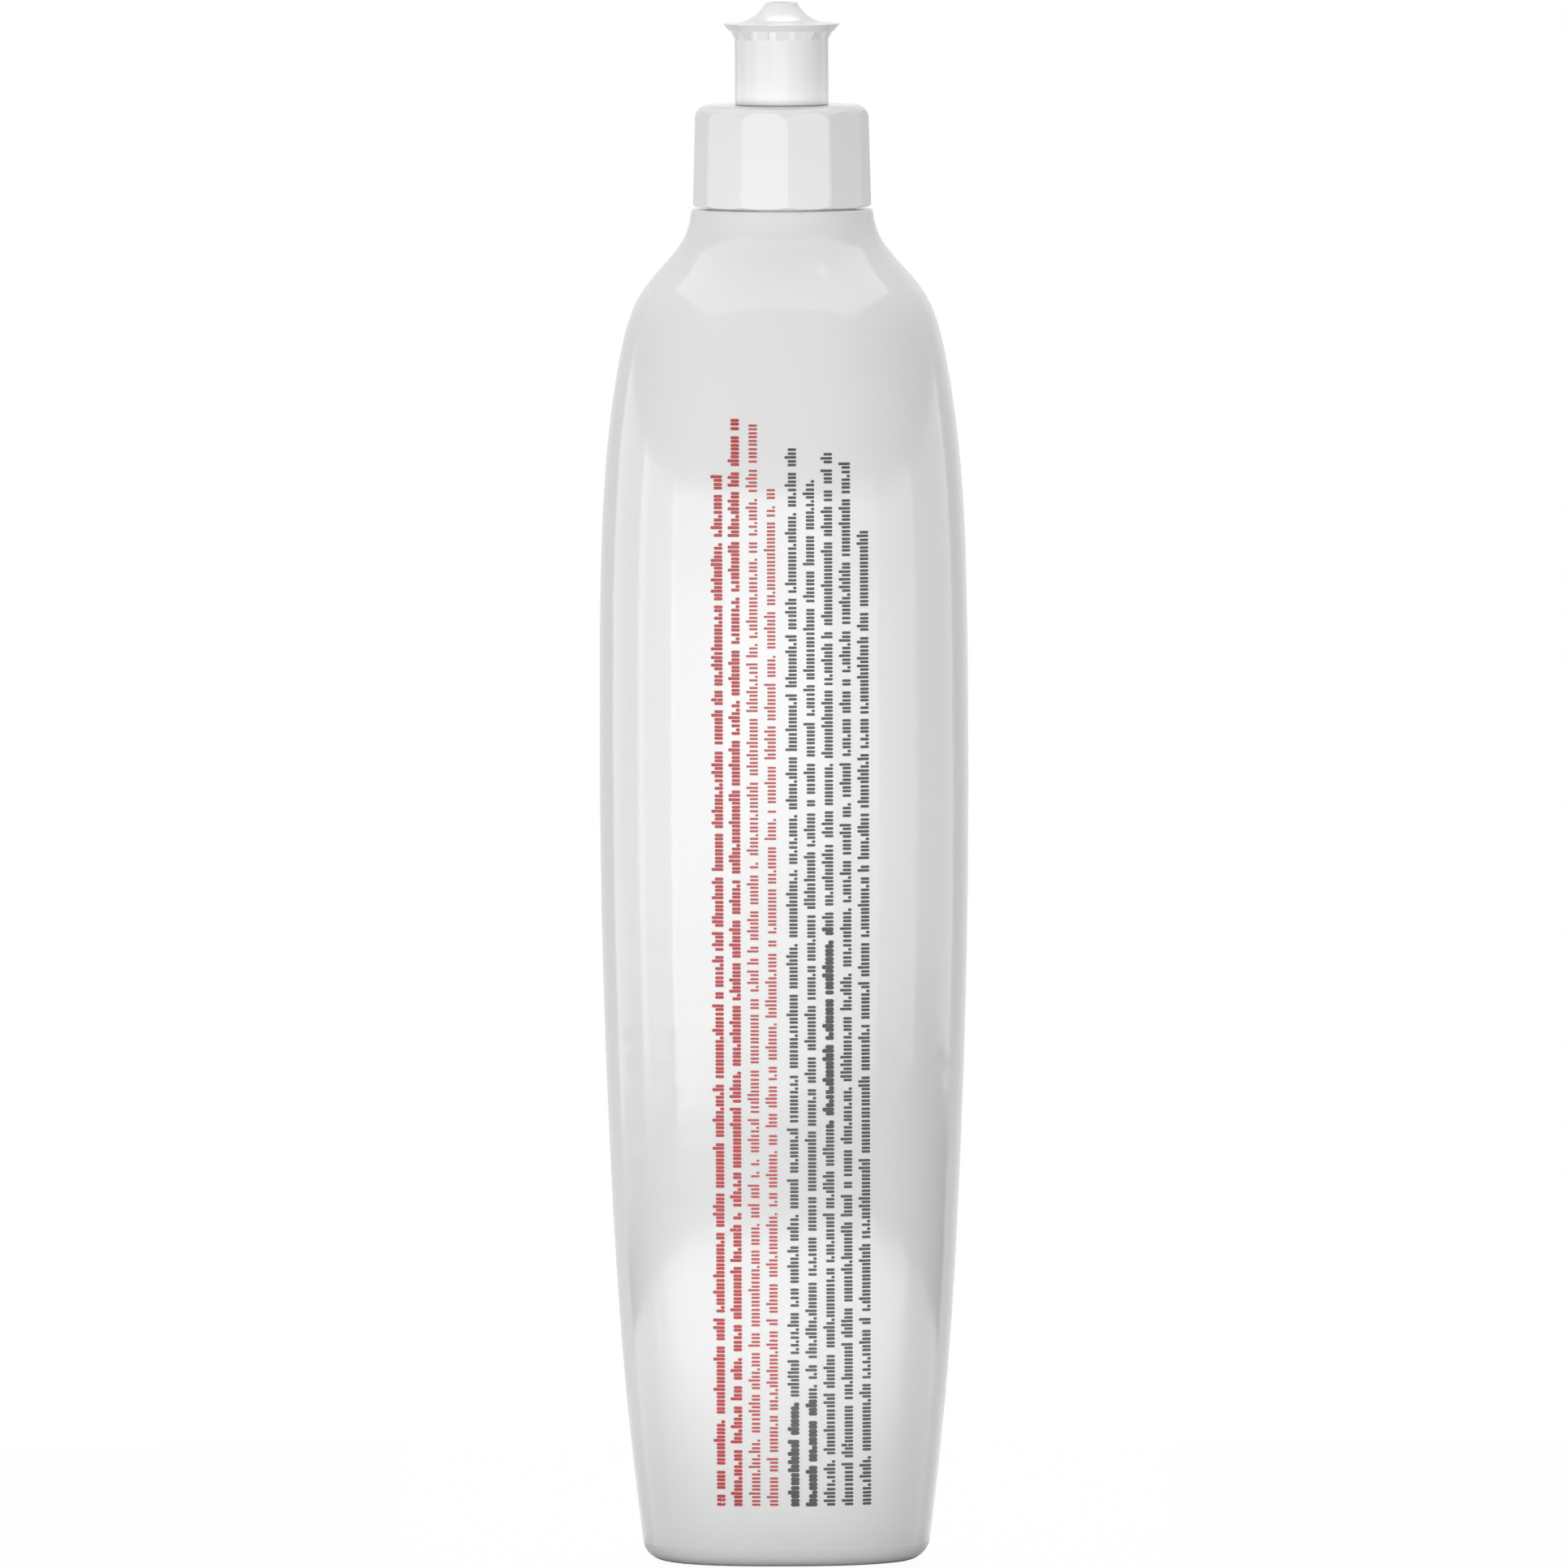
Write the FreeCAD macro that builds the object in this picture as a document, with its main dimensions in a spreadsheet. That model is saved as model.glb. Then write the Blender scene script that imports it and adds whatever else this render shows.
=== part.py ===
import FreeCAD, Part
import Sketcher

import math
import os
import re

# Squeeze bottle for dish soap: a blow-moulded shell with a threaded neck, a twelve-sided screw cap
# with a tower and plug in its middle, a push-pull spout on that tower, and a seal ring in the cap.
# Millimetres, +Z up, origin at the middle of the base. Its printed front faces -Y.

vector = FreeCAD.Vector
doc = FreeCAD.newDocument("soap_bottle")

# Driving sizes: alias, value, what it is.
SIZES = [
    # Shell outline, from the floor up: each station is a rise above the one below and a half width,
    # which is given alone, as so much less than the belly's, or as a share of the way between two.
    ("foot_wide", 24.6, "half width where the sides would meet the floor"),
    ("heel_rise", 25.0, "floor to the heel station"),
    ("heel_share", 0.563, "heel's half width, from the foot's towards the calf's"),
    ("calf_rise", 30.0, "heel to the calf station"),
    ("calf_in", 2.35, "calf narrower than the belly, each side"),
    ("waist_rise", 35.0, "calf to the waist station"),
    ("waist_in", 0.8, "waist narrower than the belly"),
    ("belly_rise", 40.0, "waist to the belly station"),
    ("belly_wide", 32.1, "half width at the belly"),
    ("chest_rise", 35.0, "belly to the chest station"),
    ("chest_in", 0.1, "chest narrower than the belly"),
    ("shoulder_rise", 25.0, "chest to the top of the straight sides"),
    ("shoulder_in", 1.1, "narrower than the belly there"),
    ("brow_rise", 18.0, "up to the turn of the shoulder"),
    ("brow_in", 3.35, "narrower than the belly at the turn"),
    ("crown_rise", 10.0, "up to the top of the slope"),
    ("crown_in", 5.9, "narrower than the belly there"),
    ("slope_rise", 6.0, "up to the middle of the slope"),
    ("slope_share", 0.612, "half width there, from the throat's towards the crown's"),
    ("flank_rise", 5.0, "up to the foot of the slope"),
    ("flank_share", 0.1735, "half width there, from the throat's towards the crown's"),
    ("throat_rise", 3.4, "up to the hollow under the collar"),
    ("throat_out", 0.55, "hollow wider than the collar, each side"),
    ("collar_rise", 3.3, "up to the collar's top face"),
    ("collar_proud", 0.3, "how far the collar stands out past the cap"),
    ("extra_depth", 4.5, "how much deeper than wide the belly is, each side"),
    ("squareness", 2.55, "power of the outline at the belly, 2 being an ellipse"),
    ("foot_round", 3.6, "radius round the foot"),
    ("collar_round", 0.5, "radius on the collar's edge"),
    # Walls of the shell.
    ("wall", 1.1, "shell wall, across"),
    ("floor_wall", 1.2, "shell wall over the raised base"),
    ("shelf_wall", 1.4, "shell wall under the neck"),
    ("ring_width", 2.0, "flat ring that the bottle stands on"),
    ("base_lift", 1.8, "how far the base is raised inside that ring"),
    ("base_flare", 4.0, "width of the slope up to the raised base"),
    ("inside_round", 3.0, "radius in the bottom corner inside"),
    # Neck finish.
    ("neck_radius", 12.55, "neck outside, between threads"),
    ("neck_wall", 1.75, "neck wall"),
    ("neck_rise", 15.7, "collar to the sealing land"),
    ("land_round", 0.4, "radius on the land's outer edge"),
    ("thread_depth", 1.0, "height of the thread ridge"),
    ("thread_pitch", 4.233, "six threads to the inch"),
    ("thread_root", 2.4, "ridge width at its root"),
    ("thread_crest", 1.1, "ridge width at its crest"),
    ("thread_bury", 0.4, "how far a ridge's root runs into its wall"),
    ("thread_turns", 1.5, "turns of thread on the neck"),
    ("thread_rise", 5.9, "collar to the middle of the thread's start"),
    ("cap_thread_turns", 1.25, "turns of thread in the cap"),
    ("thread_gap", 0.3, "clearance all round the threads"),
    # Cap.
    ("skirt_gap", 0.4, "collar to the skirt's lower edge"),
    ("skirt_wall", 1.25, "least skirt wall at its lower edge, behind a flat"),
    ("skirt_draft", 1.5, "draft of the skirt, degrees"),
    ("cap_flats", 12, "flats round the skirt"),
    ("flat_turn", 3.0, "turn of the first corner from the side, degrees"),
    ("flat_soften", 0.08, "how far the corners between flats are turned down"),
    ("cap_round", 2.3, "radius from the skirt to the deck"),
    ("skirt_chamfer", 0.35, "bevel on the skirt's lower edge"),
    ("liner_thick", 1.0, "seal ring thickness"),
    ("liner_gap", 0.35, "seal ring to the skirt inside"),
    ("liner_lap", 0.3, "how far the seal ring laps the bore"),
    ("deck_thick", 1.4, "cap deck thickness"),
    # Tower and plug on the cap.
    ("tower_radius", 6.5, "tower outside"),
    ("tower_wall", 1.2, "tower wall"),
    ("tower_rise", 10.9, "deck to the top of the tower"),
    ("slide_gap", 0.1, "running fit between tower and spout"),
    ("bead_depth", 0.25, "how far the tower's stop bead stands out"),
    ("bead_height", 2.7, "stop bead height"),
    ("plug_radius", 1.8, "plug that shuts the spout"),
    ("plug_below", 0.3, "plug tip below the spout's tip"),
    ("web_width", 1.2, "webs that carry the plug"),
    ("web_height", 3.1, "web height"),
    ("web_count", 4, "webs round the plug"),
    # Spout.
    ("spout_gap", 0.12, "deck to the shut spout"),
    ("spout_wall", 1.3, "sleeve wall"),
    ("spout_bead", 1.0, "height of the snap bead at the sleeve's foot"),
    ("sleeve_rise", 11.35, "sleeve's foot to the foot of the gussets"),
    ("gusset_height", 1.55, "gusset height"),
    ("gusset_width", 2.0, "gusset thickness"),
    ("gusset_count", 16, "gussets under the flange"),
    ("gusset_short", 0.15, "how far a gusset stops short of the lip"),
    ("lip_reach", 2.05, "how far the flange stands out past the sleeve"),
    ("rim_height", 1.15, "height of the flange's bevelled rim"),
    ("rim_in", 1.0, "how far the rim draws in below its lip"),
    ("flange_crown", 0.3, "rise of the flange from its lip to the cone"),
    ("cone_foot", 7.0, "radius at the foot of the cone"),
    ("cone_rise", 3.4, "cone height"),
    ("cone_hollow", 6.7, "radius of the cone's hollow flank"),
    ("tip_radius", 2.7, "radius of the flat tip"),
    ("orifice_depth", 2.3, "depth of the outlet hole"),
    ("roof_drop", 3.3, "outlet hole down to the foot of the roof inside"),
]

sheet = doc.addObject("Spreadsheet::Sheet", "sizes")
for row, (alias, value, meaning) in enumerate(SIZES, start=1):
    sheet.set(f"A{row}", meaning)
    sheet.set(f"B{row}", str(value))
    sheet.setAlias(f"B{row}", alias)
doc.recompute()


def size(expression):
    """Number that an expression of sheet aliases comes to."""
    return float(sheet.evalExpression(expression))


def bound(expression):
    """The same expression as the other objects of the document write it."""
    names = "|".join(alias for alias, value, meaning in SIZES)
    return re.sub(rf"\b({names})\b", r"sizes.\1", expression)


# Heights that several pieces share, each an expression of the sheet.
STATIONS = ["foot", "heel", "calf", "waist", "belly", "chest", "shoulder", "brow"]
STATIONS += ["crown", "slope", "flank", "throat", "collar"]
station_height = {"foot": "0"}
for below, name in zip(STATIONS, STATIONS[1:]):
    station_height[name] = f"{name}_rise" if below == "foot" else f"{station_height[below]} + {name}_rise"
collar_top = station_height["collar"]
land = f"{collar_top} + neck_rise"
skirt_foot = f"{collar_top} + skirt_gap"
deck_under = f"{land} + liner_thick"
deck_top = f"{deck_under} + deck_thick"
tower_top = f"{deck_top} + tower_rise"
spout_foot = f"{deck_top} + spout_gap"
gusset_foot = f"{spout_foot} + sleeve_rise"
lip_under = f"{gusset_foot} + gusset_height"
lip_top = f"{lip_under} + rim_height"
cone_base = f"{lip_top} + flange_crown"
tip = f"{cone_base} + cone_rise"
thread_start = f"{collar_top} + thread_rise"

# Radii that several pieces share.
neck_bore = "(neck_radius - neck_wall)"
cap_bore = "(neck_radius + thread_depth + thread_gap)"
flat_reach = f"({cap_bore} + skirt_wall)"
corner_reach = f"({flat_reach} / cos(180 / cap_flats))"
skirt_radius = f"({corner_reach} - flat_soften)"
collar_radius = f"({skirt_radius} + collar_proud)"
deck_radius = f"({skirt_radius} - (neck_rise + liner_thick + deck_thick - skirt_gap) * tan(skirt_draft))"
bead_radius = "(tower_radius + bead_depth)"
tower_bore = "(tower_radius - tower_wall)"
sleeve_bore = f"({bead_radius} + slide_gap)"
sleeve_radius = f"({sleeve_bore} + spout_wall)"
lip_radius = f"({sleeve_radius} + lip_reach)"
rim_radius = f"({lip_radius} - rim_in)"
orifice_radius = "(plug_radius + slide_gap)"

# Half widths of the shell's stations, the same way.
throat_wide = f"({collar_radius} + throat_out)"
station_wide = {"foot": "foot_wide", "belly": "belly_wide", "throat": throat_wide}
for name in ("calf", "waist", "chest", "shoulder", "brow", "crown"):
    station_wide[name] = f"(belly_wide - {name}_in)"
BETWEEN = {"heel": ("foot", "calf"), "slope": ("throat", "crown"), "flank": ("throat", "crown")}
for name, (low, high) in BETWEEN.items():
    low_wide, high_wide = station_wide[low], station_wide[high]
    station_wide[name] = f"({low_wide} + ({high_wide} - {low_wide}) * {name}_share)"


def plane(body, role):
    return next(item for item in body.Origin.OriginFeatures if item.Role == role)


def hold(sketch, side, end, axis, expression):
    """Ties one coordinate of a corner to an expression; a zero radius puts it on the axis."""
    value = size(expression)
    if value == 0:
        vertical_axis = -2
        sketch.addConstraint(Sketcher.Constraint("PointOnObject", side, end, vertical_axis))
        return
    index = sketch.addConstraint(Sketcher.Constraint(f"Distance{axis}", -1, 1, side, end, value))
    sketch.setExpression(f"Constraints[{index}]", bound(expression))


def outline_sketch(body, name, corners, hollows):
    """Closed outline of radius and height expressions; hollows gives a side an arc of that radius."""
    sketch = body.newObject("Sketcher::SketchObject", name)
    sketch.AttachmentSupport = [(plane(body, "XZ_Plane"), "")]
    sketch.MapMode = "FlatFace"
    points = [vector(size(radius), size(height), 0) for radius, height in corners]
    count = len(points)
    starts = []
    for side, start in enumerate(points):
        end = points[(side + 1) % count]
        if side not in hollows:
            sketch.addGeometry(Part.LineSegment(start, end))
            starts.append(1)
            continue
        radius = size(hollows[side])
        chord = end - start
        across = vector(-chord.y, chord.x, 0).normalize()
        sagitta = radius - math.sqrt(radius**2 - (chord.Length / 2) ** 2)
        sketch.addGeometry(Part.Arc(start, (start + end) / 2 + across * sagitta, end))
        drawn = sketch.getPoint(side, 1)
        starts.append(1 if drawn.distanceToPoint(start) < drawn.distanceToPoint(end) else 2)
    for side in range(count):
        following = (side + 1) % count
        joint = Sketcher.Constraint("Coincident", side, 3 - starts[side], following, starts[following])
        sketch.addConstraint(joint)
    for side, radius in hollows.items():
        index = sketch.addConstraint(Sketcher.Constraint("Radius", side, size(radius)))
        sketch.setExpression(f"Constraints[{index}]", bound(radius))
    for side, (radius, height) in enumerate(corners):
        hold(sketch, side, starts[side], "X", radius)
        hold(sketch, side, starts[side], "Y", height)
    return sketch


def turned(body, name, corners, hollows=None):
    """Solid of revolution about the vertical axis."""
    sketch = outline_sketch(body, f"{name}_outline", corners, hollows or {})
    feature = body.newObject("PartDesign::Revolution", name)
    feature.Profile = sketch
    feature.ReferenceAxis = (sketch, ["V_Axis"])
    doc.recompute()
    return feature


def threaded(body, name, corners, turns):
    """Ridge that climbs round the vertical axis as a right-hand thread."""
    sketch = outline_sketch(body, f"{name}_outline", corners, {})
    feature = body.newObject("PartDesign::AdditiveHelix", name)
    feature.Profile = sketch
    feature.ReferenceAxis = (sketch, ["V_Axis"])
    feature.Mode = "pitch-turns-angle"
    feature.setExpression("Pitch", bound("thread_pitch"))
    feature.setExpression("Turns", bound(turns))
    doc.recompute()
    return feature


def ribs(body, name, corners, width, count):
    """Flat ribs set evenly round the vertical axis."""
    sketch = outline_sketch(body, f"{name}_outline", corners, {})
    rib = body.newObject("PartDesign::Pad", name)
    rib.Profile = sketch
    rib.Midplane = True
    rib.setExpression("Length", bound(width))
    doc.recompute()
    pattern = body.newObject("PartDesign::PolarPattern", f"{name}_ring")
    pattern.Originals = [rib]
    pattern.Axis = (sketch, ["V_Axis"])
    pattern.Angle = 360
    pattern.setExpression("Occurrences", bound(count))
    body.Tip = pattern
    doc.recompute()
    return pattern


def level_edges(shape, height):
    """Numbers of the edges that lie flat at one height."""
    flat = 1e-4
    return [
        index
        for index, edge in enumerate(shape.Edges, start=1)
        if edge.BoundBox.ZLength < flat and abs(edge.BoundBox.ZMin - height) < flat
    ]


def dressed(body, kind, name, radius, height, amount):
    """Fillet or chamfer on the circle of that radius and height."""
    base = body.Tip
    near = 1e-3
    circles = [
        f"Edge{index}"
        for index in level_edges(base.Shape, size(height))
        if abs(base.Shape.Edges[index - 1].BoundBox.XLength / 2 - size(radius)) < near
    ]
    feature = body.newObject(f"PartDesign::{kind}", name)
    feature.Base = (base, circles)
    feature.setExpression("Radius" if kind == "Fillet" else "Size", bound(amount))
    doc.recompute()
    return feature


# Bottle: the shell's outer form, less its inside, its bore and its raised base, with the neck.

OUTLINE_POINTS = 16
LOFT_DEGREE = 3


def round_share(half_wide):
    """0 where the outline is the round collar, 1 at the belly."""
    collar = size(collar_radius)
    return max(0.0, (half_wide - collar) / (size("belly_wide") - collar))


def level_wire(name, curve, height):
    wire = doc.addObject("Part::Feature", name)
    wire.Shape = Part.Wire(curve.toShape())
    wire.setExpression(".Placement.Base.z", bound(height))
    return wire


def ring(name, radius, height):
    return level_wire(name, Part.Circle(vector(), vector(0, 0, 1), radius), height)


def section(name, half_wide, height, inset=0.0):
    """Level outline of the shell: a rounded square that nears a circle towards the collar."""
    share = round_share(half_wide)
    half_deep = half_wide + size("extra_depth") * share - inset
    power = 2 + (size("squareness") - 2) * math.sqrt(share)
    points = []
    for step in range(OUTLINE_POINTS):
        angle = 2 * math.pi * step / OUTLINE_POINTS
        across = (abs(math.cos(angle)) / (half_wide - inset)) ** power
        along = (abs(math.sin(angle)) / half_deep) ** power
        radius = (across + along) ** (-1 / power)
        points.append(vector(radius * math.cos(angle), radius * math.sin(angle), 0))
    curve = Part.BSplineCurve()
    knots = [step / OUTLINE_POINTS for step in range(OUTLINE_POINTS + 1)]
    curve.interpolate(Points=points, PeriodicFlag=True, Parameters=knots)
    return level_wire(name, curve, height)


def lofted(name, sections):
    loft = doc.addObject("Part::Loft", name)
    loft.Sections = sections
    loft.Solid = True
    loft.Ruled = False
    loft.MaxDegree = LOFT_DEGREE
    doc.recompute()
    return loft


def rounded(name, base, rounds):
    """Fillets the flat edges at each height by its radius."""
    feature = doc.addObject("Part::Fillet", name)
    feature.Base = base
    feature.Edges = [
        (index, size(radius), size(radius))
        for height, radius in rounds
        for index in level_edges(base.Shape, size(height))
    ]
    doc.recompute()
    return feature


def cut(name, base, tool):
    feature = doc.addObject("Part::Cut", name)
    feature.Base = base
    feature.Tool = tool
    return feature


outside_sections = [
    section(f"outside_{name}", size(station_wide[name]), station_height[name]) for name in STATIONS[:-1]
]
outside_sections.append(ring("outside_collar", size(collar_radius), collar_top))
outer = lofted("shell_outside", outside_sections)
outer_rounded = rounded("shell_rounded", outer, [("0", "foot_round"), (collar_top, "collar_round")])

inside_floor = "base_lift + floor_wall"
inside_top = f"{collar_top} - shelf_wall"
floor_share = size(inside_floor) / size("heel_rise")
floor_wide = size("foot_wide") + (size(station_wide["heel"]) - size("foot_wide")) * floor_share
inside_sections = [section("inside_floor", floor_wide, inside_floor, size("wall"))]
for name in STATIONS[1:-1]:
    wide = size(station_wide[name])
    inside_sections.append(section(f"inside_{name}", wide, station_height[name], size("wall")))
inside_sections.append(ring("inside_top", size(f"{collar_radius} - wall"), inside_top))
inside = lofted("shell_inside", inside_sections)
inside_rounded = rounded("inside_rounded", inside, [(inside_floor, "inside_round")])

ring_inset = size("foot_round") + size("ring_width")
base_recess = lofted(
    "base_recess",
    [
        section("recess_rim", size("foot_wide"), "0", ring_inset),
        section("recess_top", size("foot_wide"), "base_lift", ring_inset + size("base_flare")),
    ],
)

neck = doc.addObject("PartDesign::Body", "neck")
neck_root = f"{collar_top} - shelf_wall"
turned(
    neck,
    "neck_blank",
    [("0", neck_root), ("neck_radius", neck_root), ("neck_radius", land), ("0", land)],
)
dressed(neck, "Fillet", "land_edge", "neck_radius", land, "land_round")
ridge_root = "neck_radius - thread_bury"
ridge_crest = "neck_radius + thread_depth"
root_half = "(thread_root / 2 + thread_bury * (thread_root - thread_crest) / 2 / thread_depth)"
threaded(
    neck,
    "neck_thread",
    [
        (ridge_root, f"{thread_start} - {root_half}"),
        (ridge_crest, f"{thread_start} - thread_crest / 2"),
        (ridge_crest, f"{thread_start} + thread_crest / 2"),
        (ridge_root, f"{thread_start} + {root_half}"),
    ],
    "thread_turns",
)

shell_and_neck = doc.addObject("Part::Fuse", "shell_and_neck")
shell_and_neck.Base = outer_rounded
shell_and_neck.Tool = neck

bore = doc.addObject("Part::Cylinder", "bore")
bore.setExpression("Radius", bound(neck_bore))
bore.setExpression("Height", bound("neck_rise + shelf_wall + wall"))
bore.setExpression(".Placement.Base.z", bound(f"{collar_top} - shelf_wall - wall / 2"))

hollowed = cut("hollowed", shell_and_neck, inside_rounded)
bored = cut("bored", hollowed, bore)
bottle = cut("bottle", bored, base_recess)
bottle.Label = "bottle"
doc.recompute()

# Cap: turned blank with tower, threads inside, webs and plug, then the flats.

cap_blank = doc.addObject("PartDesign::Body", "cap_blank")
turned(
    cap_blank,
    "cap_turning",
    [
        (cap_bore, skirt_foot),
        (skirt_radius, skirt_foot),
        (deck_radius, deck_top),
        ("tower_radius", deck_top),
        ("tower_radius", f"{tower_top} - bead_height"),
        (bead_radius, f"{tower_top} - bead_height"),
        (bead_radius, tower_top),
        (tower_bore, tower_top),
        (tower_bore, deck_under),
        (cap_bore, deck_under),
    ],
)
dressed(cap_blank, "Fillet", "cap_shoulder", deck_radius, deck_top, "cap_round")
dressed(cap_blank, "Chamfer", "cap_foot", skirt_radius, skirt_foot, "skirt_chamfer")
web_foot = f"{tower_top} - web_height"
web_reach = "tower_radius - tower_wall / 2"
ribs(
    cap_blank,
    "web",
    [("0", web_foot), (web_reach, web_foot), (web_reach, tower_top), ("0", tower_top)],
    "web_width",
    "web_count",
)
turned(
    cap_blank,
    "plug",
    [
        ("0", web_foot),
        ("plug_radius", web_foot),
        ("plug_radius", f"{tip} - plug_below"),
        ("0", f"{tip} - plug_below"),
    ],
)

# The cap's ridge lies under the neck's, flank to flank with the clearance between them.
flank_lap = "(thread_depth - thread_gap) * (thread_root - thread_crest) / thread_depth"
engaged = f"(2 * thread_crest + {flank_lap}) / 2"
cap_thread_start = f"{thread_start} - {engaged} - thread_gap"
cap_ridge_crest = "neck_radius + thread_gap"
threaded(
    cap_blank,
    "cap_thread",
    [
        (f"{cap_bore} + thread_bury", f"{cap_thread_start} - {root_half}"),
        (f"{cap_bore} + thread_bury", f"{cap_thread_start} + {root_half}"),
        (cap_ridge_crest, f"{cap_thread_start} + thread_crest / 2"),
        (cap_ridge_crest, f"{cap_thread_start} - thread_crest / 2"),
    ],
    "cap_thread_turns",
)

flats_outline = doc.addObject("Part::RegularPolygon", "flats_outline")
flats_outline.setExpression("Polygon", bound("cap_flats"))
flats_outline.setExpression("Circumradius", bound(corner_reach))
flats_outline.setExpression(".Placement.Base.z", bound(skirt_foot))
flats_outline.setExpression(".Placement.Rotation.Angle", bound("flat_turn"))
flats = doc.addObject("Part::Extrusion", "flats")
flats.Base = flats_outline
flats.DirMode = "Custom"
flats.Dir = vector(0, 0, 1)
flats.Solid = True
flats.setExpression("LengthFwd", bound(f"{tip} - ({skirt_foot})"))
flats.setExpression("TaperAngle", bound("-skirt_draft"))
cap = doc.addObject("Part::Common", "cap")
cap.Base = cap_blank
cap.Tool = flats
cap.Label = "cap"
doc.recompute()

# Seal ring between the neck's land and the cap's deck.

liner = doc.addObject("PartDesign::Body", "cap_liner")
liner.Label = "cap_liner"
liner_inside = f"{neck_bore} - liner_lap"
liner_outside = f"{cap_bore} - liner_gap"
turned(
    liner,
    "liner_ring",
    [(liner_inside, land), (liner_outside, land), (liner_outside, deck_under), (liner_inside, deck_under)],
)

# Spout: sleeve with a snap bead at its foot, gusseted flange and hollow-sided cone with the outlet.

spout = doc.addObject("PartDesign::Body", "spout")
spout.Label = "spout"
snap_radius = "tower_radius + slide_gap"
orifice_foot = f"{tip} - orifice_depth"
turned(
    spout,
    "spout_turning",
    [
        (snap_radius, spout_foot),
        (sleeve_radius, spout_foot),
        (sleeve_radius, lip_under),
        (rim_radius, lip_under),
        (lip_radius, lip_top),
        ("cone_foot", cone_base),
        ("tip_radius", tip),
        (orifice_radius, tip),
        (orifice_radius, orifice_foot),
        (sleeve_bore, f"{orifice_foot} - roof_drop"),
        (sleeve_bore, f"{spout_foot} + spout_bead"),
        (snap_radius, f"{spout_foot} + spout_bead"),
    ],
    {5: "cone_hollow"},
)
ribs(
    spout,
    "gusset",
    [
        (f"{sleeve_radius} - spout_wall / 2", gusset_foot),
        (sleeve_radius, gusset_foot),
        (f"{rim_radius} - gusset_short", lip_under),
        (f"{sleeve_radius} - spout_wall / 2", lip_under),
    ],
    "gusset_width",
    "gusset_count",
)
doc.recompute()

# Every object has to be sound before anything is written.

for item in doc.Objects:
    if "Invalid" in item.State or "Error" in item.State:
        raise RuntimeError(f"{item.Label} failed: {item.State}")
parts = [bottle, cap, liner, spout]
for piece in parts:
    if piece.Shape.isNull() or not piece.Shape.isValid() or len(piece.Shape.Solids) != 1:
        raise RuntimeError(f"{piece.Label} is not one sound solid")

os.makedirs("parts", exist_ok=True)
for piece in parts:
    piece.Shape.exportStep(f"parts/{piece.Label}.step")
    print(f"{piece.Label}: {piece.Shape.Volume / 1000:.2f} ml of material")
print(f"space inside the shell: {inside_rounded.Shape.Volume / 1000:.0f} ml")
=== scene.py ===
import bpy
import math
import random
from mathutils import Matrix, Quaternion, Vector
from mathutils.bvhtree import BVHTree


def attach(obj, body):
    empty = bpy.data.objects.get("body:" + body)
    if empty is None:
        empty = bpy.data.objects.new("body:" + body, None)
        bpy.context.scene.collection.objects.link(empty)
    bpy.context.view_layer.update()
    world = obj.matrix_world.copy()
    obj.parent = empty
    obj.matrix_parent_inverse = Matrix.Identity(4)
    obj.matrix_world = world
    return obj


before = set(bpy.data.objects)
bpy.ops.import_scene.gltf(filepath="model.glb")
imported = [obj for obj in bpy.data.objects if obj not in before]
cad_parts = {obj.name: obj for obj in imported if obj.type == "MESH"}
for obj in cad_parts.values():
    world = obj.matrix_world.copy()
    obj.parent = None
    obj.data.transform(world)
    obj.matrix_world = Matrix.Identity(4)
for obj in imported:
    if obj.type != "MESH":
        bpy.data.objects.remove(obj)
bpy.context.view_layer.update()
mm = 0.001


# Helpers for pieces and shader trees

def paint(obj, material):
    obj.data.materials.clear()
    obj.data.materials.append(material)


def newPiece(name, points, faces, material):
    mesh = bpy.data.meshes.new(name)
    mesh.from_pydata(points, [], faces)
    mesh.validate()
    mesh.update()
    piece = bpy.data.objects.new(name, mesh)
    bpy.context.scene.collection.objects.link(piece)
    paint(piece, material)
    return piece


def newMaterial(name):
    material = bpy.data.materials.new(name)
    material.use_nodes = True
    tree = material.node_tree
    return material, tree, tree.nodes["Principled BSDF"]


def addNode(tree, kind, **settings):
    node = tree.nodes.new(kind)
    for name, value in settings.items():
        setattr(node, name, value)
    return node


def feed(tree, socket, value):
    # a number or a colour goes on the socket, anything else is linked to it
    if isinstance(value, tuple):
        socket.default_value = (*value, 1)
    elif isinstance(value, (int, float)):
        socket.default_value = value
    else:
        tree.links.new(value, socket)


def combine(tree, operation, first, second):
    node = addNode(tree, "ShaderNodeMath", operation=operation)
    feed(tree, node.inputs[0], first)
    feed(tree, node.inputs[1], second)
    return node.outputs[0]


def weighted(tree, first, share, second):
    # so much of the first, and the rest of the second
    firstPart = combine(tree, "MULTIPLY", first, share)
    return combine(tree, "ADD", firstPart, combine(tree, "MULTIPLY", second, 1 - share))


def spread(tree, value, low, high):
    # takes a 0..1 value to low..high
    node = addNode(tree, "ShaderNodeMapRange")
    feed(tree, node.inputs["Value"], value)
    feed(tree, node.inputs["To Min"], low)
    feed(tree, node.inputs["To Max"], high)
    return node.outputs["Result"]


def ease(tree, value, start, end, low=0.0, high=1.0):
    # goes smoothly from low, where the value is at start, to high at end
    node = addNode(tree, "ShaderNodeMapRange", interpolation_type="SMOOTHSTEP")
    for name, number in (("From Min", start), ("From Max", end), ("To Min", low), ("To Max", high)):
        node.inputs[name].default_value = number
    feed(tree, node.inputs["Value"], value)
    return node.outputs["Result"]


def blendColours(tree, factor, first, second):
    node = addNode(tree, "ShaderNodeMix", data_type="RGBA")
    for name, value in (("Factor", factor), ("A", first), ("B", second)):
        feed(tree, next(s for s in node.inputs if s.name == name and s.enabled), value)
    return next(s for s in node.outputs if s.enabled)


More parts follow.
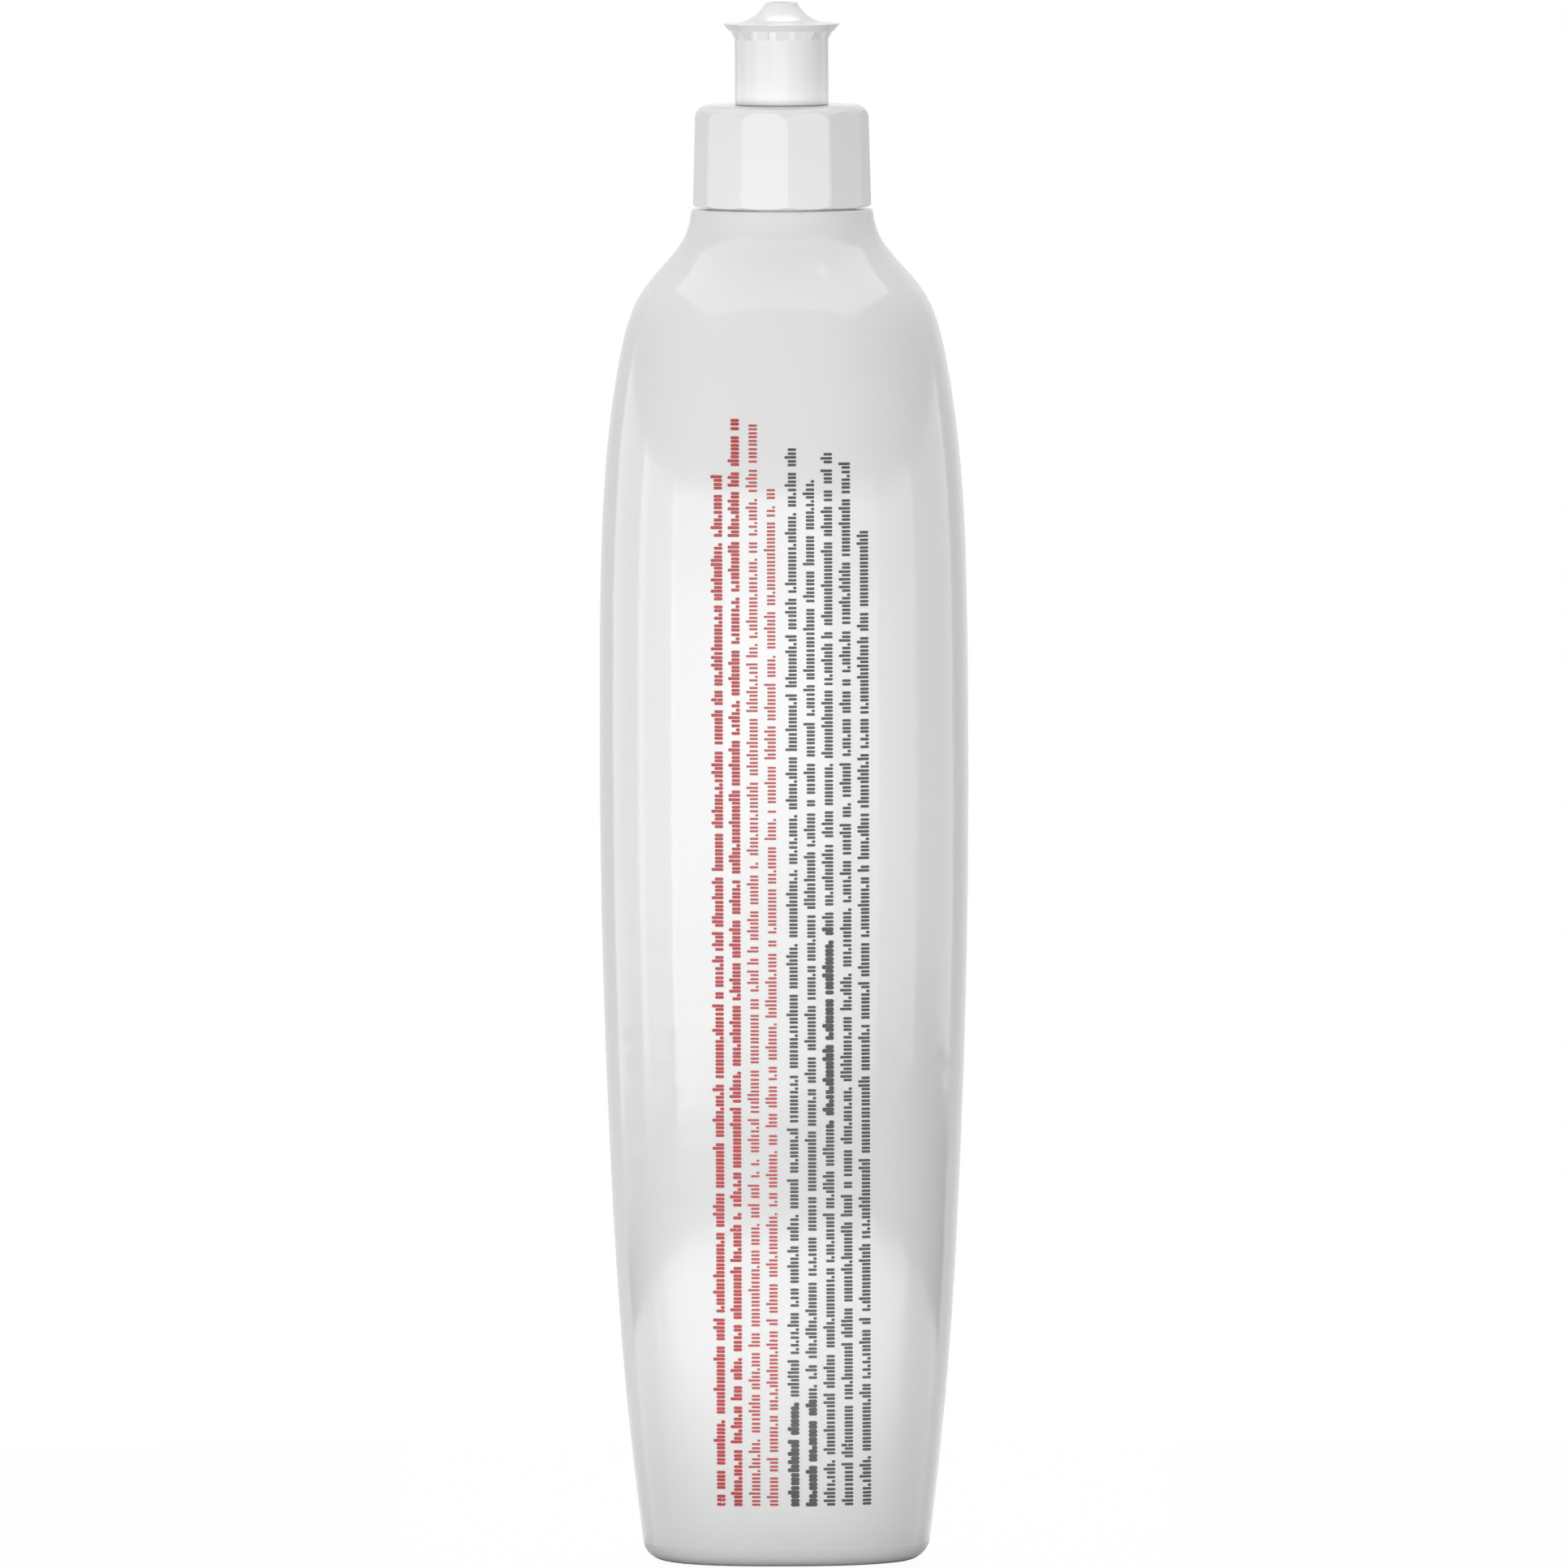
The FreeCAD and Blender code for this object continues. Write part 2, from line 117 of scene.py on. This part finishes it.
def newGroup(name, inputs, outputs):
    tree = bpy.data.node_groups.new(name, "ShaderNodeTree")
    for label, kind, value in inputs:
        socket = tree.interface.new_socket(label, in_out="INPUT", socket_type=kind)
        socket.default_value = value
    for label, kind in outputs:
        tree.interface.new_socket(label, in_out="OUTPUT", socket_type=kind)
    return tree, addNode(tree, "NodeGroupInput"), addNode(tree, "NodeGroupOutput")


def placeGroup(tree, group, **values):
    # baseColour=... sets the group's socket Base Colour, and so on
    node = addNode(tree, "ShaderNodeGroup", node_tree=group)
    for name, value in values.items():
        label = "".join(" " + c if c.isupper() else c for c in name).strip().title()
        feed(tree, node.inputs[label], value)
    return node


def addNoise(tree, scale, detail):
    place = addNode(tree, "ShaderNodeTexCoord").outputs["Object"]
    noise = addNode(tree, "ShaderNodeTexNoise")
    feed(tree, noise.inputs["Vector"], place)
    feed(tree, noise.inputs["Scale"], scale)
    feed(tree, noise.inputs["Detail"], detail)
    return noise.outputs["Fac"]


# Effects that several materials share

surfaceOutputs = [
    ("Colour", "NodeSocketColor"),
    ("Roughness", "NodeSocketFloat"),
    ("Height", "NodeSocketFloat"),
]


def makeMouldedSkin():
    # the skin of a moulded plastic part: slow flow clouds, orange peel and fine grain
    tree, given, out = newGroup(
        "mouldedSkin",
        [
            ("Base Colour", "NodeSocketColor", (0.9, 0.9, 0.9, 1)),
            ("Flow Colour", "NodeSocketColor", (0.85, 0.85, 0.85, 1)),
            ("Flow Scale", "NodeSocketFloat", 30.0),
            ("Peel Scale", "NodeSocketFloat", 400.0),
            ("Grain Scale", "NodeSocketFloat", 3000.0),
            ("Smooth", "NodeSocketFloat", 0.25),
            ("Rough", "NodeSocketFloat", 0.35),
        ],
        surfaceOutputs,
    )
    flow = addNoise(tree, given.outputs["Flow Scale"], 3)
    peel = addNoise(tree, given.outputs["Peel Scale"], 2)
    grain = addNoise(tree, given.outputs["Grain Scale"], 1)
    colour = blendColours(tree, flow, given.outputs["Base Colour"], given.outputs["Flow Colour"])
    rough = spread(tree, weighted(tree, flow, 0.6, grain), given.outputs["Smooth"], given.outputs["Rough"])
    feed(tree, out.inputs["Colour"], colour)
    feed(tree, out.inputs["Roughness"], rough)
    feed(tree, out.inputs["Height"], weighted(tree, peel, 0.85, grain))
    return tree


def makeRubbedInk():
    # pad-printed ink: a little thinner here and there, with the film's own small waves
    tree, given, out = newGroup(
        "rubbedInk",
        [
            ("Ink Colour", "NodeSocketColor", (0.5, 0.1, 0.1, 1)),
            ("Thin Colour", "NodeSocketColor", (0.6, 0.2, 0.2, 1)),
            ("Wave Scale", "NodeSocketFloat", 900.0),
            ("Smooth", "NodeSocketFloat", 0.3),
            ("Rough", "NodeSocketFloat", 0.45),
        ],
        surfaceOutputs,
    )
    waves = addNoise(tree, given.outputs["Wave Scale"], 3)
    thin = spread(tree, waves, -0.4, 1.1)  # below 0 the ink is whole, above 1 it is at its thinnest
    colour = blendColours(tree, thin, given.outputs["Ink Colour"], given.outputs["Thin Colour"])
    feed(tree, out.inputs["Colour"], colour)
    feed(tree, out.inputs["Roughness"], spread(tree, waves, given.outputs["Smooth"], given.outputs["Rough"]))
    feed(tree, out.inputs["Height"], waves)
    return tree


mouldedSkin = makeMouldedSkin()
rubbedInk = makeRubbedInk()


def surfaceFrom(tree, shader, group, depth):
    feed(tree, shader.inputs["Base Color"], group.outputs["Colour"])
    feed(tree, shader.inputs["Roughness"], group.outputs["Roughness"])
    bump = addNode(tree, "ShaderNodeBump")
    feed(tree, bump.inputs["Strength"], 1.0)
    feed(tree, bump.inputs["Distance"], depth)
    feed(tree, bump.inputs["Height"], group.outputs["Height"])
    feed(tree, shader.inputs["Normal"], bump.outputs["Normal"])


def makeMoulded(name, look):
    material, tree, shader = newMaterial(name)
    skin = placeGroup(
        tree, mouldedSkin, baseColour=look["colour"], flowColour=look["flowColour"],
        flowScale=look["flowScale"], peelScale=look["peelScale"], grainScale=look["grainScale"],
        smooth=look["smooth"], rough=look["rough"],
    )
    surfaceFrom(tree, shader, skin, look["peelHeight"])
    feed(tree, shader.inputs["IOR"], look["ior"])
    return material, shader


# Bottle: satin polyethylene that light sinks into a little

shell = {
    "colour": (0.925, 0.925, 0.92),
    "flowColour": (0.905, 0.905, 0.9),
    "flowScale": 28.0,
    "peelScale": 650.0,
    "grainScale": 5200.0,
    "smooth": 0.08,
    "rough": 0.14,
    "peelHeight": 0.004 * mm,
    "ior": 1.54,
    "milky": 0.12,  # share of the light that sinks in
    "milkyColour": (1.0, 0.95, 0.9),
    "milkyDepth": 2.0 * mm,
}

shellPlastic, shellShader = makeMoulded("shellPlastic", shell)
shellShader.inputs["Subsurface Weight"].default_value = shell["milky"]
shellShader.inputs["Subsurface Radius"].default_value = shell["milkyColour"]
shellShader.inputs["Subsurface Scale"].default_value = shell["milkyDepth"]
paint(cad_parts["bottle"], shellPlastic)
print("bottle in satin polyethylene")


# Cap and spout: polypropylene with a soft gloss

closure = {
    "colour": (0.93, 0.925, 0.925),
    "flowColour": (0.915, 0.908, 0.908),
    "flowScale": 70.0,
    "peelScale": 1100.0,
    "grainScale": 7000.0,
    "smooth": 0.18,
    "rough": 0.27,
    "peelHeight": 0.006 * mm,
    "ior": 1.49,
}

closurePlastic = makeMoulded("closurePlastic", closure)[0]
paint(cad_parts["cap"], closurePlastic)
paint(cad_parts["spout"], closurePlastic)
print("cap and spout in polypropylene")


# Seal ring: foam with open cells

seal = {
    "colour": (0.9, 0.9, 0.88),
    "flowColour": (0.84, 0.84, 0.82),
    "flowScale": 300.0,
    "peelScale": 2400.0,
    "grainScale": 6000.0,
    "smooth": 0.6,
    "rough": 0.8,
    "peelHeight": 0.04 * mm,  # depth of the foam's cells
    "ior": 1.5,
}

paint(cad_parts["cap_liner"], makeMoulded("sealFoam", seal)[0])
print("seal ring in foam")


# Print on the front: rows of small bars that run up the bottle, no letters

ink = {
    "smooth": 0.28,
    "rough": 0.4,
    "waveScale": 900.0,
    "waveHeight": 0.004 * mm,
    "ior": 1.5,
    # material, whole ink, thin ink
    "kinds": {
        "redBold": ("redInkBold", (0.44, 0.022, 0.03), (0.5, 0.04, 0.045)),
        "redLight": ("redInkLight", (0.48, 0.052, 0.055), (0.54, 0.09, 0.085)),
        "dark": ("darkInk", (0.03, 0.03, 0.032), (0.06, 0.06, 0.062)),
    },
}

# The layout is counted in steps, down from its top and to the right from its left edge.
rows = {
    "step": 0.1416 * mm,
    "foot": 1856,  # where every row starts
    "base": 1932,  # the surface that the bottle stands on
    "middle": 966,  # the bottle's axis
    "short": 10.5,  # bar lengths across the row
    "tall": 14.5,
    "dot": 1.3,  # length of a dot, in bar widths
    "cell": 9.4,  # room for a pair of bars
    "pairAt": (0.25, 0.72),  # where the two stand, as shares of their cell
    "singleCell": 0.6,  # share of a cell that a bar by itself takes
    "heavyBar": 1.55,  # how much wider the bars of a heavy stretch are
    "heavyCell": 1.08,
    "wordCells": (1, 2, 3, 4, 5, 5, 6, 7, 8, 9, 11),
    "cellKinds": ("pair", "pair", "pair", "tallFirst", "tallLast", "single", "dot"),
    "gap": (0.5, 0.75),  # least and most between groups, in cells
    "seed": 28,
    "cornerCut": 0.3,  # share of a bar's narrow side
    "proud": 0.045 * mm,
    "sunk": 0.05 * mm,
    "lookFrom": 200 * mm,  # how far in front of the axis the wall is looked for
    # middle of the row, its top end, ink, bar width, heavy stretches
    "list": [
        (886, 575, "redBold", 3.9, []),
        (907, 512, "redBold", 3.9, []),
        (929, 515, "redLight", 2.8, []),
        (951, 593, "redLight", 2.8, []),
        (977, 541, "dark", 3.3, [(1735, 1856)]),
        (999, 581, "dark", 3.3, [(1730, 1856)]),
        (1021, 552, "dark", 3.3, [(1145, 1390)]),
        (1043, 563, "dark", 3.3, []),
        (1065, 646, "dark", 3.3, []),
    ],
}


def makeInk(name, whole, thin):
    material, tree, shader = newMaterial(name)
    film = placeGroup(
        tree, rubbedInk, inkColour=whole, thinColour=thin, waveScale=ink["waveScale"],
        smooth=ink["smooth"], rough=ink["rough"],
    )
    surfaceFrom(tree, shader, film, ink["waveHeight"])
    feed(tree, shader.inputs["IOR"], ink["ior"])
    return material


def wallTree(node):
    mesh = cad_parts[node].data
    mesh.calc_loop_triangles()
    corners = [v.co.copy() for v in mesh.vertices]
    return BVHTree.FromPolygons(corners, [tuple(t.vertices) for t in mesh.loop_triangles])


def onWall(wall, x, z, out):
    # a point on the front wall as seen straight from the front, moved out of it or, below 0, into it
    hit, normal, _, _ = wall.ray_cast(Vector((x, -rows["lookFrom"], z)), Vector((0, 1, 0)))
    if normal.y > 0:
        normal = -normal
    return hit + normal * out


def barOutline(width, length):
    # eight points round a bar, its corners cut
    a, b = width / 2, length / 2
    cut = min(width, length) * rows["cornerCut"]
    return [
        (a, -b + cut), (a, b - cut), (a - cut, b), (-a + cut, b),
        (-a, b - cut), (-a, -b + cut), (-a + cut, -b), (a - cut, -b),
    ]


def addBar(wall, points, faces, x, z, width, length):
    # width runs up the bottle, length across it
    start = len(points)
    outline = barOutline(width, length)
    for out in (rows["proud"], -rows["sunk"]):
        points += [onWall(wall, x + across, z + up, out) for up, across in outline]
    count = len(outline)
    front = list(range(start, start + count))
    back = list(range(start + count, start + 2 * count))
    faces += [front[::-1], back]
    for i in range(count):
        j = (i + 1) % count
        faces.append([front[i], front[j], back[j], back[i]])


def cellBars(kind, width):
    # lengths of the bars in a cell
    short, tall, dot = rows["short"], rows["tall"], rows["dot"] * width
    return {
        "pair": (short, short),
        "tallFirst": (tall, short),
        "tallLast": (short, tall),
        "single": (short,),
        "dot": (short, dot),
    }[kind]


def addRow(wall, row, dice, points, faces):
    middle, top, _, thin, heavy = row
    step, cell = rows["step"], rows["cell"]
    place = rows["foot"]
    while place - top > cell:
        for _ in range(dice.choice(rows["wordCells"])):
            if place - top < cell:
                break
            width, pitch = thin, cell
            if any(low <= place <= high for low, high in heavy):
                width, pitch = thin * rows["heavyBar"], cell * rows["heavyCell"]
            kind = dice.choice(rows["cellKinds"])
            for share, length in zip(rows["pairAt"], cellBars(kind, width)):
                # all bars of a row start from one line on its right
                x = (middle - rows["middle"] + (rows["short"] - length) / 2) * step
                z = (rows["base"] - (place - pitch * share)) * step
                addBar(wall, points, faces, x, z, width * step, length * step)
            place -= pitch * (rows["singleCell"] if kind == "single" else 1)
        place -= cell * dice.uniform(*rows["gap"])


def makePrint():
    wall = wallTree("bottle")
    dice = random.Random(rows["seed"])
    inks = {kind: makeInk(*look) for kind, look in ink["kinds"].items()}
    bars = {kind: ([], []) for kind in inks}
    for row in rows["list"]:
        addRow(wall, row, dice, *bars[row[2]])
    for kind, (points, faces) in bars.items():
        piece = newPiece("print" + kind[0].upper() + kind[1:], points, faces, inks[kind])
        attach(piece, "bottle")
        print("print", kind, len(faces), "faces")


makePrint()


# Floor of the set: a glossy white table that also glows white in the bottle's gloss as a painted reflection,
# and the dark room below it

table = {
    "radius": 0.33,
    "seenColour": (0.92, 0.92, 0.92),
    "bounceColour": (0.3, 0.3, 0.3),  # what it throws back at the bottle
    "rough": 0.12,
    "plainWhite": 0.96,  # share of plain white in what the camera sees of it
    # painted reflection: white glow of the table that only the bottle's gloss meets
    "glossStart": 0.03,  # this far from the middle it sets in, past the shade at the foot
    "glossFull": 0.052,
    "glossBehind": 0.3,
    "glossInFront": 2.4,
    "glossTurn": (0.005, -0.1),  # y where it leaves the one and reaches the other
}

room = {
    "radius": 9.0,
    "depth": 0.75,  # table top to the floor of the room
    "colour": (0.08, 0.08, 0.08),
    "rough": 0.8,
}

discCorners = 128
white = (1, 1, 1)


def disc(name, radius, height, material):
    turns = [2 * math.pi * i / discCorners for i in range(discCorners)]
    points = [(radius * math.cos(t), radius * math.sin(t), height) for t in turns]
    piece = newPiece(name, points, [list(range(discCorners))], material)
    return piece


def makeTable():
    material, tree, shader = newMaterial("tableBoardAndGlossGlow")
    path = addNode(tree, "ShaderNodeLightPath")
    board = blendColours(tree, path.outputs["Is Camera Ray"], table["bounceColour"], table["seenColour"])
    feed(tree, shader.inputs["Base Color"], board)
    feed(tree, shader.inputs["Roughness"], table["rough"])

    place = addNode(tree, "ShaderNodeTexCoord").outputs["Object"]
    away = addNode(tree, "ShaderNodeVectorMath", operation="LENGTH")
    side = addNode(tree, "ShaderNodeSeparateXYZ")
    feed(tree, away.inputs[0], place)
    feed(tree, side.inputs["Vector"], place)
    # painted reflection: the table glows white for glossy rays only, none near the foot, weak behind and
    # strong in front
    glowPastFoot = ease(tree, away.outputs["Value"], table["glossStart"], table["glossFull"])
    level = ease(tree, side.outputs["Y"], *table["glossTurn"], table["glossBehind"], table["glossInFront"])
    paintedGlossGlow = combine(tree, "MULTIPLY", path.outputs["Is Glossy Ray"], combine(tree, "MULTIPLY", glowPastFoot, level))
    feed(tree, shader.inputs["Emission Color"], white)
    feed(tree, shader.inputs["Emission Strength"], paintedGlossGlow)

    plain = addNode(tree, "ShaderNodeEmission")
    mix = addNode(tree, "ShaderNodeMixShader")
    feed(tree, mix.inputs[0], combine(tree, "MULTIPLY", path.outputs["Is Camera Ray"], table["plainWhite"]))
    feed(tree, mix.inputs[1], shader.outputs[0])
    feed(tree, mix.inputs[2], plain.outputs[0])
    feed(tree, tree.nodes["Material Output"].inputs["Surface"], mix.outputs[0])
    disc("table", table["radius"], 0, material)


def makeRoom():
    # the camera doesn't see it, but the plastic's gloss and the table do
    material, tree, shader = newMaterial("roomFloor")
    feed(tree, shader.inputs["Base Color"], room["colour"])
    feed(tree, shader.inputs["Roughness"], room["rough"])
    floor = disc("room", room["radius"], -room["depth"], material)
    floor.visible_camera = False


# Grey cards: one behind the bottle on each side, which keep the white plastic's edges from fading

cards = {
    "from": 140,  # turn from the camera where a card begins and ends, degrees
    "to": 176,
    "steps": 24,
    "radius": 1.1,
    "low": -0.4,
    "high": 0.9,
    "colour": (0.5, 0.5, 0.5),
    "glow": 0.5,
    "rough": 0.9,
}


def makeCards():
    material, tree, shader = newMaterial("cardGrey")
    feed(tree, shader.inputs["Base Color"], cards["colour"])
    feed(tree, shader.inputs["Emission Color"], white)
    feed(tree, shader.inputs["Emission Strength"], cards["glow"])
    feed(tree, shader.inputs["Roughness"], cards["rough"])
    steps, radius = cards["steps"], cards["radius"]
    faces = [[2 * i, 2 * i + 2, 2 * i + 3, 2 * i + 1] for i in range(steps)]
    for side, name in ((-1, "cardLeft"), (1, "cardRight")):
        points = []
        for i in range(steps + 1):
            turn = math.radians(cards["from"] + (cards["to"] - cards["from"]) * i / steps)
            x, y = side * radius * math.sin(turn), -radius * math.cos(turn)
            points += [(x, y, cards["low"]), (x, y, cards["high"])]
        card = newPiece(name, points, faces, material)
        card.visible_camera = False


# Light: a ground that is white to the camera and in the gloss, and lamps that the camera doesn't see

skyFill = 0.03  # what the white ground adds to the plain light on the bottle

lamps = {
    "aimHeight": 0.13,
    # azimuth from the camera, elevation, distance, width, height, radiance
    "list": {
        "frontLow": (-4, -7.2, 1.6, 1.06, 0.185, 2.6),
        "frontMid": (-4, -1.25, 1.6, 1.06, 0.15, 3.9),
        "frontHigh": (-4, 5.5, 1.6, 1.06, 0.23, 3.0),
        "leftLow": (-44, -7.2, 1.6, 1.3, 0.185, 2.9),
        "leftMid": (-44, -1.25, 1.6, 1.3, 0.15, 3.0),
        "leftHigh": (-44, 5.5, 1.6, 1.3, 0.23, 2.3),
        "rightLow": (32, -6.8, 1.6, 1.06, 0.16, 1.9),
        "rightMid": (32, -1.25, 1.6, 1.06, 0.15, 2.5),
        "rightHigh": (32, 5.5, 1.6, 1.06, 0.23, 1.9),
        "leftSide": (-83, 0.2, 1.6, 1.06, 0.52, 1.4),
        "rightSide": (68, 0.2, 1.6, 1.06, 0.49, 1.4),
        "leftBack": (-117, 0.2, 1.6, 1.4, 0.52, 0.6),
        "rightBack": (112, 1.0, 1.6, 1.5, 0.46, 0.55),
        "topBack": (178, 66, 1.5, 0.7, 0.8, 2.4),
        "topBroad": (178, 84, 1.5, 2.4, 1.9, 0.8),
    },
}


def makeWorld():
    world = bpy.data.worlds.new("studioWhite")
    world.use_nodes = True
    bpy.context.scene.world = world
    tree = world.node_tree
    ground = tree.nodes["Background"]
    feed(tree, ground.inputs["Color"], white)
    path = addNode(tree, "ShaderNodeLightPath")
    seen = combine(tree, "MAXIMUM", path.outputs["Is Camera Ray"], path.outputs["Is Glossy Ray"])
    seen = combine(tree, "MAXIMUM", seen, path.outputs["Is Transmission Ray"])
    feed(tree, ground.inputs["Strength"], spread(tree, seen, skyFill, 1.0))


def around(azimuth, elevation, distance, target):
    turn, rise = math.radians(azimuth), math.radians(elevation)
    level = math.cos(rise)
    return target + distance * Vector((math.sin(turn) * level, -math.cos(turn) * level, math.sin(rise)))


def aim(obj, spot, target):
    obj.location = spot
    obj.rotation_mode = "QUATERNION"
    obj.rotation_quaternion = (target - spot).to_track_quat("-Z", "Y")


def makeLamps():
    target = Vector((0, 0, lamps["aimHeight"]))
    for name, (azimuth, elevation, distance, width, height, radiance) in lamps["list"].items():
        light = bpy.data.lights.new(name, "AREA")
        light.shape = "RECTANGLE"
        light.size, light.size_y = width, height
        light.energy = radiance * 4 * width * height  # radiance is power over four times the area
        lamp = bpy.data.objects.new(name, light)
        bpy.context.scene.collection.objects.link(lamp)
        aim(lamp, around(azimuth, elevation, distance, target), target)
        lamp.visible_camera = False


# Camera

lens = {
    "elevation": 3.0,
    "distance": 9.0,
    "frameWidth": 0.2736,  # what the picture spans at the bottle
    "aimHeight": 0.1352,
    "roll": 0.19,  # the bottle leans a little to the left in the picture
    "sensor": 36,
    "nearest": 0.1,
    "farthest": 40,
}


def makeCamera():
    data = bpy.data.cameras.new("photoCamera")
    data.sensor_width = lens["sensor"]
    data.lens = lens["sensor"] * lens["distance"] / lens["frameWidth"]
    data.clip_start, data.clip_end = lens["nearest"], lens["farthest"]
    camera = bpy.data.objects.new("photoCamera", data)
    bpy.context.scene.collection.objects.link(camera)
    target = Vector((0, 0, lens["aimHeight"]))
    aim(camera, around(0, lens["elevation"], lens["distance"], target), target)
    roll = Quaternion((0, 0, 1), math.radians(-lens["roll"]))
    camera.rotation_quaternion = camera.rotation_quaternion @ roll
    bpy.context.scene.camera = camera


makeTable()
makeRoom()
makeCards()
makeWorld()
makeLamps()
makeCamera()
bpy.context.scene.view_settings.view_transform = "Standard"
print("floor, lamps and camera set")
